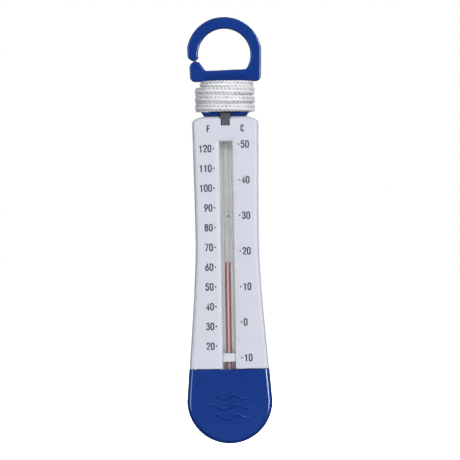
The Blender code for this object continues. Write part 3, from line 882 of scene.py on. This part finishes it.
def seam_ridge(room):
    """The ridge in the middle of the rear shell's edge, or with room the groove that it fits."""
    depth = (SPLIT_Y - 0.8 * MM - room, SPLIT_Y + 0.5 * MM)
    low = 10 * MM
    outside = housing_outline(low, HOUSING_TOP, SEAM_INSET - room)
    ridge = new_object("ridge", slab("ridge", outside, *depth))
    inside = housing_outline(low, HOUSING_TOP - MM, SEAM_INSET + MM + room)
    combine(ridge, slab("inside", inside, SPLIT_Y - FAR, SPLIT_Y + FAR))
    combine(ridge, box("below", (-FAR, FAR), (-FAR, FAR), (0, HOUSING_BOTTOM + 2 * MM)))
    combine(ridge, box("above", (-FAR, FAR), (-FAR, FAR), (HOUSING_TOP - 3 * MM, 4 * FAR)))
    mesh = ridge.data.copy()
    bpy.data.objects.remove(ridge)
    return mesh


def trough_cut():
    """The trough: its sides and its upper end slope from the face down to the tube's channel."""
    section = [(TROUGH_HALF, FACE - MM), (TROUGH_HALF, FACE), (TROUGH_FOOT, TROUGH_FLOOR)]
    section += mirrored(section)
    mesh = slab("trough", section, CHANNEL_LOW, TROUGH_TOP, upright=True)
    for corner in mesh.vertices:
        if corner.co.z > TROUGH_TOP - MM and corner.co.y > FACE + LIP:
            corner.co.z -= TROUGH_END
    return mesh


def add_front_housing(look, painted_light_channel):
    """The front shell: trough, tube channel, clip slots and notch, hollow behind."""
    shell = housing_block("front_shell")
    cavity = new_object("cavity", housing_cavity())
    keel = box("keel", (-KEEL_HALF, KEEL_HALF), (-FAR, KEEL_BACK), (CHANNEL_LOW, KEEL_TOP))
    combine(cavity, keel)
    combine(shell, cavity.data.copy())
    bpy.data.objects.remove(cavity)
    combine(shell, trough_cut())
    reach = CHANNEL_RADIUS
    groove = [(reach + LIP, -FAR), (reach + LIP, TROUGH_FLOOR), (reach, TROUGH_FLOOR + LIP)]
    groove += [(x, y + TUBE_Y) for x, y in arc(0, 0, reach, 0, 180, 40)]
    groove += mirrored(groove[:3])
    combine(shell, slab("channel", groove, CHANNEL_LOW, CHANNEL_TOP, upright=True))
    lug = CLIP_LUG + GAP
    depth = (CLIP_LUG_FRONT - GAP, CLIP_LUG_BACK + GAP)
    combine(shell, box("clip_slots", (-lug, lug), depth, (CLIP_LOW - GAP, CLIP_HIGH + GAP)))
    combine(shell, slab("notch", notch_outline(0), FACE - FAR, NOTCH_BACK))
    combine(shell, plug_hole())
    combine(shell, box("behind", (-FAR, FAR), (SPLIT_Y - SEAM, FAR), (0, 4 * FAR)))
    combine(shell, seam_ridge(RIDGE_ROOM))
    place(shell, look, "white_plastic", ("front_housing",))
    shell.data.materials.append(painted_light_channel)
    front, back = FACE + 1.2 * MM, TUBE_Y + reach + 0.15 * MM
    # The channel's faces take the second material, the shell's white painted lighter as painted
    # light.
    for face in shell.data.polygons:
        x, y, z = face.center
        if abs(x) < reach + 0.02 * MM and front < y < back and z < LOW + CHANNEL_TOP:
            face.material_index = 1


def add_rear_housing(look):
    shell = housing_block("rear_shell")
    combine(shell, housing_cavity())
    combine(shell, box("ahead", (-FAR, FAR), (-FAR, SPLIT_Y + SEAM), (0, 4 * FAR)))
    combine(shell, seam_ridge(0), "UNION")
    combine(shell, plug_hole())
    place(shell, look, "white_plastic", ("rear_housing",))


def add_ribs(look):
    """Raised graduations in the trough: every 2 degrees Fahrenheit left, 1 Celsius right."""
    slope = (TROUGH_FLOOR - FACE) / (TROUGH_HALF - TROUGH_FOOT)
    bars = []
    for side, pitch in ((-1, 2 * DEGREE_FAHRENHEIT), (1, DEGREE_CELSIUS)):
        first = math.ceil((RIB_LOW - ZERO_CELSIUS) / pitch)
        last = math.floor((RIB_HIGH - ZERO_CELSIUS) / pitch)
        for i in range(first, last + 1):
            z = ZERO_CELSIUS + i * pitch
            x = sorted(side * reach for reach in RIB_SPAN)
            outline = [(x[0], z - RIB_HALF), (x[1], z - RIB_HALF)]
            outline += [(x[1], z + RIB_HALF), (x[0], z + RIB_HALF)]
            bar = slab("bar", outline, TROUGH_FLOOR - RIB, TROUGH_FLOOR + 0.3 * MM, 0.05 * MM, 2)
            for corner in bar.vertices:
                corner.co.y -= slope * (abs(corner.co.x) - TROUGH_FOOT)
            bars.append(bar)
    place(new_object("scale_ribs", joined("scale_ribs", bars)), look, "white_plastic")


def add_wedge(look):
    # Painted shade: a dark grey rubber wedge fills the notch, standing in for the dark hollow behind
    # it.
    wedge = slab("wedge", notch_outline(GAP), FACE + 0.5 * MM, -CORE_DEPTH - GAP, 0.25 * MM, 3)
    place(new_object("notch_wedge_painted_shade", wedge), look, "grey_rubber", ("neck_wedge",))


# ---- numbers on the scale ----


def glyph(sign):
    """The pen strokes of a sign, in units of its width, from (0, 0) to (1, 2)."""
    top = bow(0.5, 1.55, 0.5, 0.45, 180, 0)
    strokes = {
        "0": [bow(0.5, 1.5, 0.5, 0.5, 180, 0) + bow(0.5, 0.5, 0.5, 0.5, 0, -180) + [(0, 1.5)]],
        "1": [[(0.22, 1.62), (0.58, 2.0), (0.58, 0.0)]],
        "2": [top + [(0.93, 1.2), (0.0, 0.0), (1.0, 0.0)]],
        "3": [bow(0.48, 1.54, 0.46, 0.46, 160, -75) + [(0.42, 1.08)],
              [(0.42, 1.08)] + bow(0.48, 0.54, 0.52, 0.54, 75, -160)],
        "4": [[(0.74, 0.0), (0.74, 2.0), (0.0, 0.55), (1.05, 0.55)]],
        "5": [[(0.92, 2.0), (0.12, 2.0), (0.06, 1.12)] + bow(0.48, 0.64, 0.52, 0.64, 115, -155)],
        "6": [[(0.82, 2.0), (0.12, 1.0)] + bow(0.5, 0.6, 0.5, 0.6, 150, -210)],
        "7": [[(0.0, 2.0), (1.0, 2.0), (0.35, 0.0)]],
        "8": [bow(0.5, 1.53, 0.43, 0.47, 270, -90) + bow(0.5, 0.53, 0.5, 0.53, 90, -270)],
        "9": [[(0.18, 0.0), (0.88, 1.0)] + bow(0.5, 1.4, 0.5, 0.6, -30, 330)],
        "F": [[(0.0, 0.0), (0.0, 2.0), (0.95, 2.0)], [(0.0, 1.05), (0.8, 1.05)]],
        "C": [bow(0.52, 1.45, 0.52, 0.55, 25, 180) + bow(0.52, 0.55, 0.52, 0.55, 180, 335)],
    }
    return strokes[sign]


def pen_stroke(points, half, x, z):
    """A flat-domed line of ink through points (across, up), with round ends."""
    line = np.array(points, float)
    keep = [0] + [i for i in range(1, len(line)) if np.linalg.norm(line[i] - line[i - 1]) > 1e-7]
    line = line[keep]
    along = np.gradient(line, axis=0)
    along /= np.linalg.norm(along, axis=1)[:, None]
    ends = []
    for tip, way in ((line[0], -along[0]), (line[-1], along[-1])):
        ends.append([tip + way * half * math.sin(a) for a in (0.5, 1.0, 1.35)])
    widths = [math.cos(a) for a in (1.35, 1.0, 0.5)]
    path = np.array(ends[0][::-1] + list(line) + ends[1])
    along = np.vstack([[along[0]] * 3, along, [along[-1]] * 3])
    width = np.array(widths + [1] * len(line) + widths[::-1])
    around = 10
    angle = 2 * np.pi * np.arange(around) / around
    normal = np.stack([-along[:, 1], along[:, 0]], 1)
    rings = np.zeros((len(path), around, 3))
    reach = half * width[:, None] * np.cos(angle)[None, :]
    rings[..., 0] = x + path[:, 0:1] + reach * normal[:, 0:1]
    rings[..., 2] = z + path[:, 1:2] + reach * normal[:, 1:2]
    rings[..., 1] = FACE - INK * width[:, None] * np.sin(angle)[None, :]
    return sweep("stroke", rings)


def written(text, x, z, height=DIGIT_HEIGHT, width=DIGIT_WIDTH):
    """Strokes for a line of signs whose left edge and middle height are given."""
    meshes = []
    for i, sign in enumerate(text):
        for stroke in glyph(sign):
            points = [(a * width, b * height / 2) for a, b in stroke]
            meshes.append(pen_stroke(points, STROKE, x + i * DIGIT_PITCH, z - height / 2))
    return meshes


def dot(x, half, z):
    """A round spot of ink, which is a stroke with almost no length."""
    return pen_stroke([(0, 0), (0.02 * MM, 0)], half, x, z)


def add_print(look):
    """Fahrenheit numbers down the left, Celsius down the right, a dot at each, and their signs."""
    signs = []
    for degrees in range(120, 10, -10):
        text = str(degrees)
        z = ZERO_CELSIUS + (degrees - 32) * DEGREE_FAHRENHEIT
        left = FAHRENHEIT_EDGE - STROKE - DIGIT_WIDTH - DIGIT_PITCH * (len(text) - 1)
        signs += written(text, left, z)
        signs.append(dot(*FAHRENHEIT_DOT, z))
    for degrees in range(50, -20, -10):
        z = ZERO_CELSIUS + degrees * DEGREE_CELSIUS
        signs += written(str(abs(degrees)), CELSIUS_EDGE + STROKE, z)
        signs.append(dot(*CELSIUS_DOT, z))
    signs += written("F", *FAHRENHEIT_LETTER, LETTER_HEIGHT, LETTER_WIDTH)
    signs += written("C", *CELSIUS_LETTER, LETTER_HEIGHT, LETTER_WIDTH)
    place(new_object("scale_print", joined("scale_print", signs)), look, "grey_rubber",
          flat_ends=False)


# ---- tube ----


def add_tube(glass, bore):
    """The glass with its bulb and closed tip; the wall of its bore has a look of its own."""
    nose = 1.2 * MM
    bottom = arc(TUBE_RADIUS - nose, TUBE_BOTTOM + nose, nose, -90, 0, 8)
    top = arc(TUBE_RADIUS - nose, TUBE_TOP, nose, 0, 70, 8)
    wall_low = TUBE_BOTTOM + 1.4 * MM
    wall_high = TUBE_TOP - 0.2 * MM
    walls = [(TUBE_RADIUS, wall_low + (wall_high - wall_low) * i / 8) for i in range(9)]
    profile = [(0, TUBE_BOTTOM)] + bottom + walls + top + [(0, TUBE_TOP + 1.1 * MM)]
    outside = turned("spirit_tube", profile, 96)
    hollow = [(0, TUBE_BOTTOM + 1.6 * MM)]
    hollow += arc(BULB_RADIUS - 0.5 * MM, TUBE_BOTTOM + 2.1 * MM, 0.5 * MM, -90, 0, 4)
    hollow += [(BULB_RADIUS, BULB_TOP), (BORE, BULB_TOP + 1.5 * MM)]
    bore_low = BULB_TOP + 1.8 * MM
    hollow += [(BORE, bore_low + (TUBE_TOP - bore_low) * i / 8) for i in range(9)]
    hollow += [(0.8 * BORE, TUBE_TOP + 0.25 * MM), (0, TUBE_TOP + 0.35 * MM)]
    tube = new_object("spirit_tube", outside)
    combine(tube, turned("hollow", hollow, 48))
    tube.data.transform(Matrix.Translation((0, TUBE_Y, 0)))
    place(tube, glass, "glass", ("glass_tube", "tube_tip"), flat_ends=False)
    tube.visible_shadow = False
    tube.data.materials.append(bore)
    for face in tube.data.polygons:
        x, y, z = face.center
        inside = math.hypot(x, y - TUBE_Y) < BULB_RADIUS + 0.1 * MM
        if inside and LOW + TUBE_BOTTOM + MM < z < LOW + TUBE_TOP + 0.5 * MM:
            face.material_index = 1
    return tube


def add_spirit(spirit):
    """The spirit in the bulb, and the column as a piece of its own; on the real thing its top rises
    and falls in the bore.
    """
    pool_radius = BULB_RADIUS - 0.02 * MM
    pool = [(0, TUBE_BOTTOM + 1.9 * MM), (pool_radius, TUBE_BOTTOM + 2.3 * MM)]
    pool += [(pool_radius, BULB_TOP), (BORE, BULB_TOP + 1.4 * MM), (0, BULB_TOP + 1.5 * MM)]
    bulb = new_object("bulb_spirit", turned("bulb_spirit", pool, 40))
    bulb.data.transform(Matrix.Translation((0, TUBE_Y, 0)))
    place(bulb, spirit, "red_spirit", ("spirit_reservoir",), flat_ends=False)

    low = 18 * MM
    rows = 80
    heights = [low + (COLUMN_TOP - low) * i / rows for i in range(rows + 1)]
    column = [(0, low)] + [(COLUMN_RADIUS, z) for z in heights]
    column += [(0.5 * MM, COLUMN_TOP - 0.25 * MM), (0, COLUMN_TOP - 0.35 * MM)]
    moving = new_object("column_spirit", turned("column_spirit", column, 40))
    moving.data.transform(Matrix.Translation((0, TUBE_Y, 0)))
    place(moving, spirit, "red_spirit", ("spirit_column",), body=None, flat_ends=False)
    moving.visible_shadow = False
    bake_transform(moving)


def add_strap(white):
    """The strap across the tube, round underneath, with a lug at each side in the shell's slots."""
    reach = CHANNEL_RADIUS
    front = FACE + 0.5 * MM
    lug_angle = math.degrees(math.asin((TUBE_Y - CLIP_LUG_BACK) / reach))
    under = arc(0, TUBE_Y, reach, 360 - lug_angle, 180 + lug_angle, 28)
    clip = [(-CLIP_HALF, front, 0.5 * MM), (CLIP_HALF, front, 0.5 * MM)]
    lug = [(CLIP_HALF, CLIP_LUG_FRONT), (CLIP_LUG, CLIP_LUG_FRONT), (CLIP_LUG, CLIP_LUG_BACK)]
    clip += plain(lug + under + mirrored(lug))
    strap = slab("tube_strap", rounded(clip, 6), CLIP_LOW, CLIP_HIGH, upright=True)
    place(new_object("tube_strap", strap), white, "white_plastic", ("tube_clip",))


def add_mark(look):
    """The dark dot on the glass that marks a calibration height."""
    y = TUBE_Y - math.sqrt((TUBE_RADIUS + 0.04 * MM) ** 2 - MARK_X ** 2)
    half = 0.06 * MM
    profile = [(0, -half)] + arc(MARK_RADIUS, 0, half, -90, 90, 6) + [(0, half)]
    mark = new_object("calibration_dot", turned("calibration_dot", profile, 24))
    upright = Matrix.Rotation(math.pi / 2, 4, "X")
    round_tube = Matrix.Rotation(math.asin(MARK_X / TUBE_RADIUS), 4, "Z")
    mark.data.transform(Matrix.Translation((MARK_X, y, MARK_HEIGHT)) @ round_tube @ upright)
    place(mark, look, "grey_rubber", flat_ends=False)


# ---- cap ----


def wave_ridge(width, amplitude, z, height, half, phase):
    """A low rounded ridge along a wave across the cap's face, with its ends drawn out thin."""
    steps, around = 120, 16
    share = np.linspace(0, 1, steps + 1)
    x = width * (share - 0.5)
    lift = z + amplitude * np.sin(2 * np.pi * 2 * share + phase)
    along = np.stack([np.gradient(x), np.gradient(lift)], 1)
    along /= np.linalg.norm(along, axis=1)[:, None]
    taper = np.clip(np.sin(np.pi * share), 0, 1) ** 0.45 + 0.02
    angle = 2 * np.pi * np.arange(around) / around
    rings = np.zeros((steps + 1, around, 3))
    reach = half * taper[:, None] * np.cos(angle)[None, :]
    rings[..., 0] = x[:, None] - reach * along[:, 1:2]
    rings[..., 2] = lift[:, None] + reach * along[:, 0:1]
    rings[..., 1] = -CAP_HALF - height * taper[:, None] * np.sin(angle)[None, :]
    return sweep("ridge", rings)


def add_cap(look):
    """The cap: a flat cup with a half-round bottom, slots behind and three waves in relief."""
    cup = slab("weighted_cap", cap_outline(0, CAP_TOP), -CAP_HALF, CAP_HALF, CAP_RIM, 12,
               open_end=CAP_TOP)
    cap = new_object("weighted_cap", cup)
    inner = CAP_HALF - WALL
    combine(cap, slab("hollow", cap_outline(WALL, CAP_TOP + MM), -inner, inner))
    for i in (-1, 0, 1):
        x = i * SLOT_PITCH
        low, high = SLOT_ENDS
        corners = [(-SLOT_HALF, low), (SLOT_HALF, low), (SLOT_HALF, high), (-SLOT_HALF, high)]
        slot = [(x + side, z, 0.98 * SLOT_HALF) for side, z in corners]
        combine(cap, slab("slot", rounded(slot), CAP_HALF - 4 * MM, CAP_HALF + MM))
    place(cap, look, "blue_plastic", ("bottom_cap",))
    ridges = [wave_ridge(WAVE_LENGTH - abs(i) * 4 * MM, 1.0 * MM, WAVE_HEIGHT + i * WAVE_PITCH,
                         0.85 * MM, WAVE_HALF, i * 0.5) for i in (-1, 0, 1)]
    place(new_object("cap_waves", joined("cap_waves", ridges)), look, "blue_plastic",
          flat_ends=False)


# ---- studio ----


def add_camera():
    """Straight on, a long way off, and rolled by the lean that the view shows."""
    lens = bpy.data.cameras.new("camera")
    lens.sensor_width = 36
    lens.lens = CAMERA_LENS
    lens.clip_end = 50
    camera = new_object("camera", lens)
    camera.location = CAMERA_AT
    camera.rotation_euler = (math.radians(90), CAMERA_LEAN, 0)
    bpy.context.scene.camera = camera


def softbox(name, place_at, size, energy):
    """A rectangular lamp that faces the float."""
    lamp = bpy.data.lights.new(name, "AREA")
    lamp.shape = "RECTANGLE"
    lamp.size, lamp.size_y = size
    lamp.energy = energy
    light = new_object(name, lamp)
    light.location = place_at
    light.rotation_euler = (LAMP_AIM - Vector(place_at)).to_track_quat("-Z", "Y").to_euler()
    return light


def add_backdrop():
    """White to the camera, and a faint cool light on everything else."""
    scene = bpy.context.scene
    scene.view_settings.view_transform = "Standard"
    world = bpy.data.worlds.new("studio")
    scene.world = world
    world.use_nodes = True
    ambient = world.node_tree.nodes["Background"]
    ambient.inputs["Color"].default_value = (0.95, 0.97, 1.0, 1)
    ambient.inputs["Strength"].default_value = 0.08
    backdrop = node(world, "ShaderNodeBackground", {"Color": (1, 1, 1, 1)})
    seen = node(world, "ShaderNodeLightPath").outputs["Is Camera Ray"]
    inputs = {0: seen, 1: ambient.outputs[0], 2: backdrop.outputs[0]}
    choice = node(world, "ShaderNodeMixShader", inputs)
    link(world, choice.outputs[0], world.node_tree.nodes["World Output"].inputs[0])


def add_floor():
    """A white floor under the float, which neither shades it nor shows in its gloss."""
    look, principled = new_look("pale_floor", Roughness=0.9)
    speckle = mix(look, noise(look, 0.2), (0.9, 0.9, 0.9, 1), (0.94, 0.94, 0.94, 1))
    link(look, speckle, principled.inputs["Base Color"])
    principled.inputs["Emission Color"].default_value = (1, 1, 1, 1)
    principled.inputs["Emission Strength"].default_value = 1.1
    disc = arc(0, 0, 6.0, 0, 360, 96)[:-1]
    floor = new_object("floor", slab("floor", disc, LOW - 0.04, LOW - 0.03, upright=True))
    floor.data.materials.append(look)
    floor.visible_diffuse = False
    floor.visible_glossy = False
    floor.visible_transmission = False
    floor.visible_shadow = False


def add_lamps(tube):
    """Softboxes round the float; only the two fills light the glass, so that it stays calm."""
    softbox("key", (1.0, -1.0, 0.1), (0.2, 1.0), 10)
    softbox("left", (-1.05, -0.75, 0.05), (0.15, 1.0), 3.0)
    softbox("top", (0.0, -0.85, 1.0), (0.9, 0.3), 2.6)
    softbox("back", (0.3, 1.2, 0.5), (0.8, 0.8), 18)
    for side in (1, -1):
        fill = softbox("fill", (0.0, -1.15, side * 0.6), (0.5, 0.3), 4.9)
        fill.visible_glossy = False
        fill.visible_transmission = False
    for side, energy in ((1, 30), (-1, 10)):
        glint = softbox("glint", (side * 0.9, -0.85, 0.1), (0.3, 1.1), energy)
        glint.data.color = (0.6, 0.75, 1.0)
        glint.visible_diffuse = False
        glint.visible_transmission = False
    shaded = bpy.data.collections.new("shaded_glass")
    shaded.objects.link(tube)
    shaded.collection_objects[0].light_linking.link_state = "EXCLUDE"
    for light in bpy.data.objects:
        if light.type == "LIGHT" and not light.name.startswith("fill"):
            light.light_linking.receiver_collection = shaded


def main():
    add_camera()
    blue = moulded("blue_plastic", (0.0055, 0.036, 0.225), 0.2, Specular_IOR_Level=0.5)
    white = moulded("white_plastic", (0.60, 0.615, 0.69), 0.5, mottle=0.015,
                     Specular_IOR_Level=0.3)
    cord = cord_look()
    rubber = rubber_look()
    ink = moulded("scale_ink", (0.03, 0.03, 0.045), 0.5, mottle=0.2, grain=0.002 * MM)
    add_cord(cord)
    add_hook(blue)
    add_spool(blue)
    add_front_housing(white, enamel_look())
    add_rear_housing(white)
    # Painted light: the ribs take a copy of the shell's white plastic painted lighter, so that they
    # stand out.
    add_ribs(moulded("rib_plastic_painted_light", (0.645, 0.66, 0.725), 0.5, mottle=0.015))
    add_wedge(rubber)
    add_print(ink)
    tube = add_tube(glass_look(), bore_look())
    add_spirit(spirit_look())
    add_strap(white)
    add_mark(ink)
    add_cap(blue)
    kept = {"float_core": foam_look(), "neck_gasket": rubber, "ballast_weight": steel_look(),
            "bulb_seat": rubber}
    for name, look in kept.items():
        mesh = frame["nodes"][name].data
        mesh.materials.clear()
        mesh.materials.append(look)
    add_backdrop()
    add_floor()
    add_lamps(tube)


main()
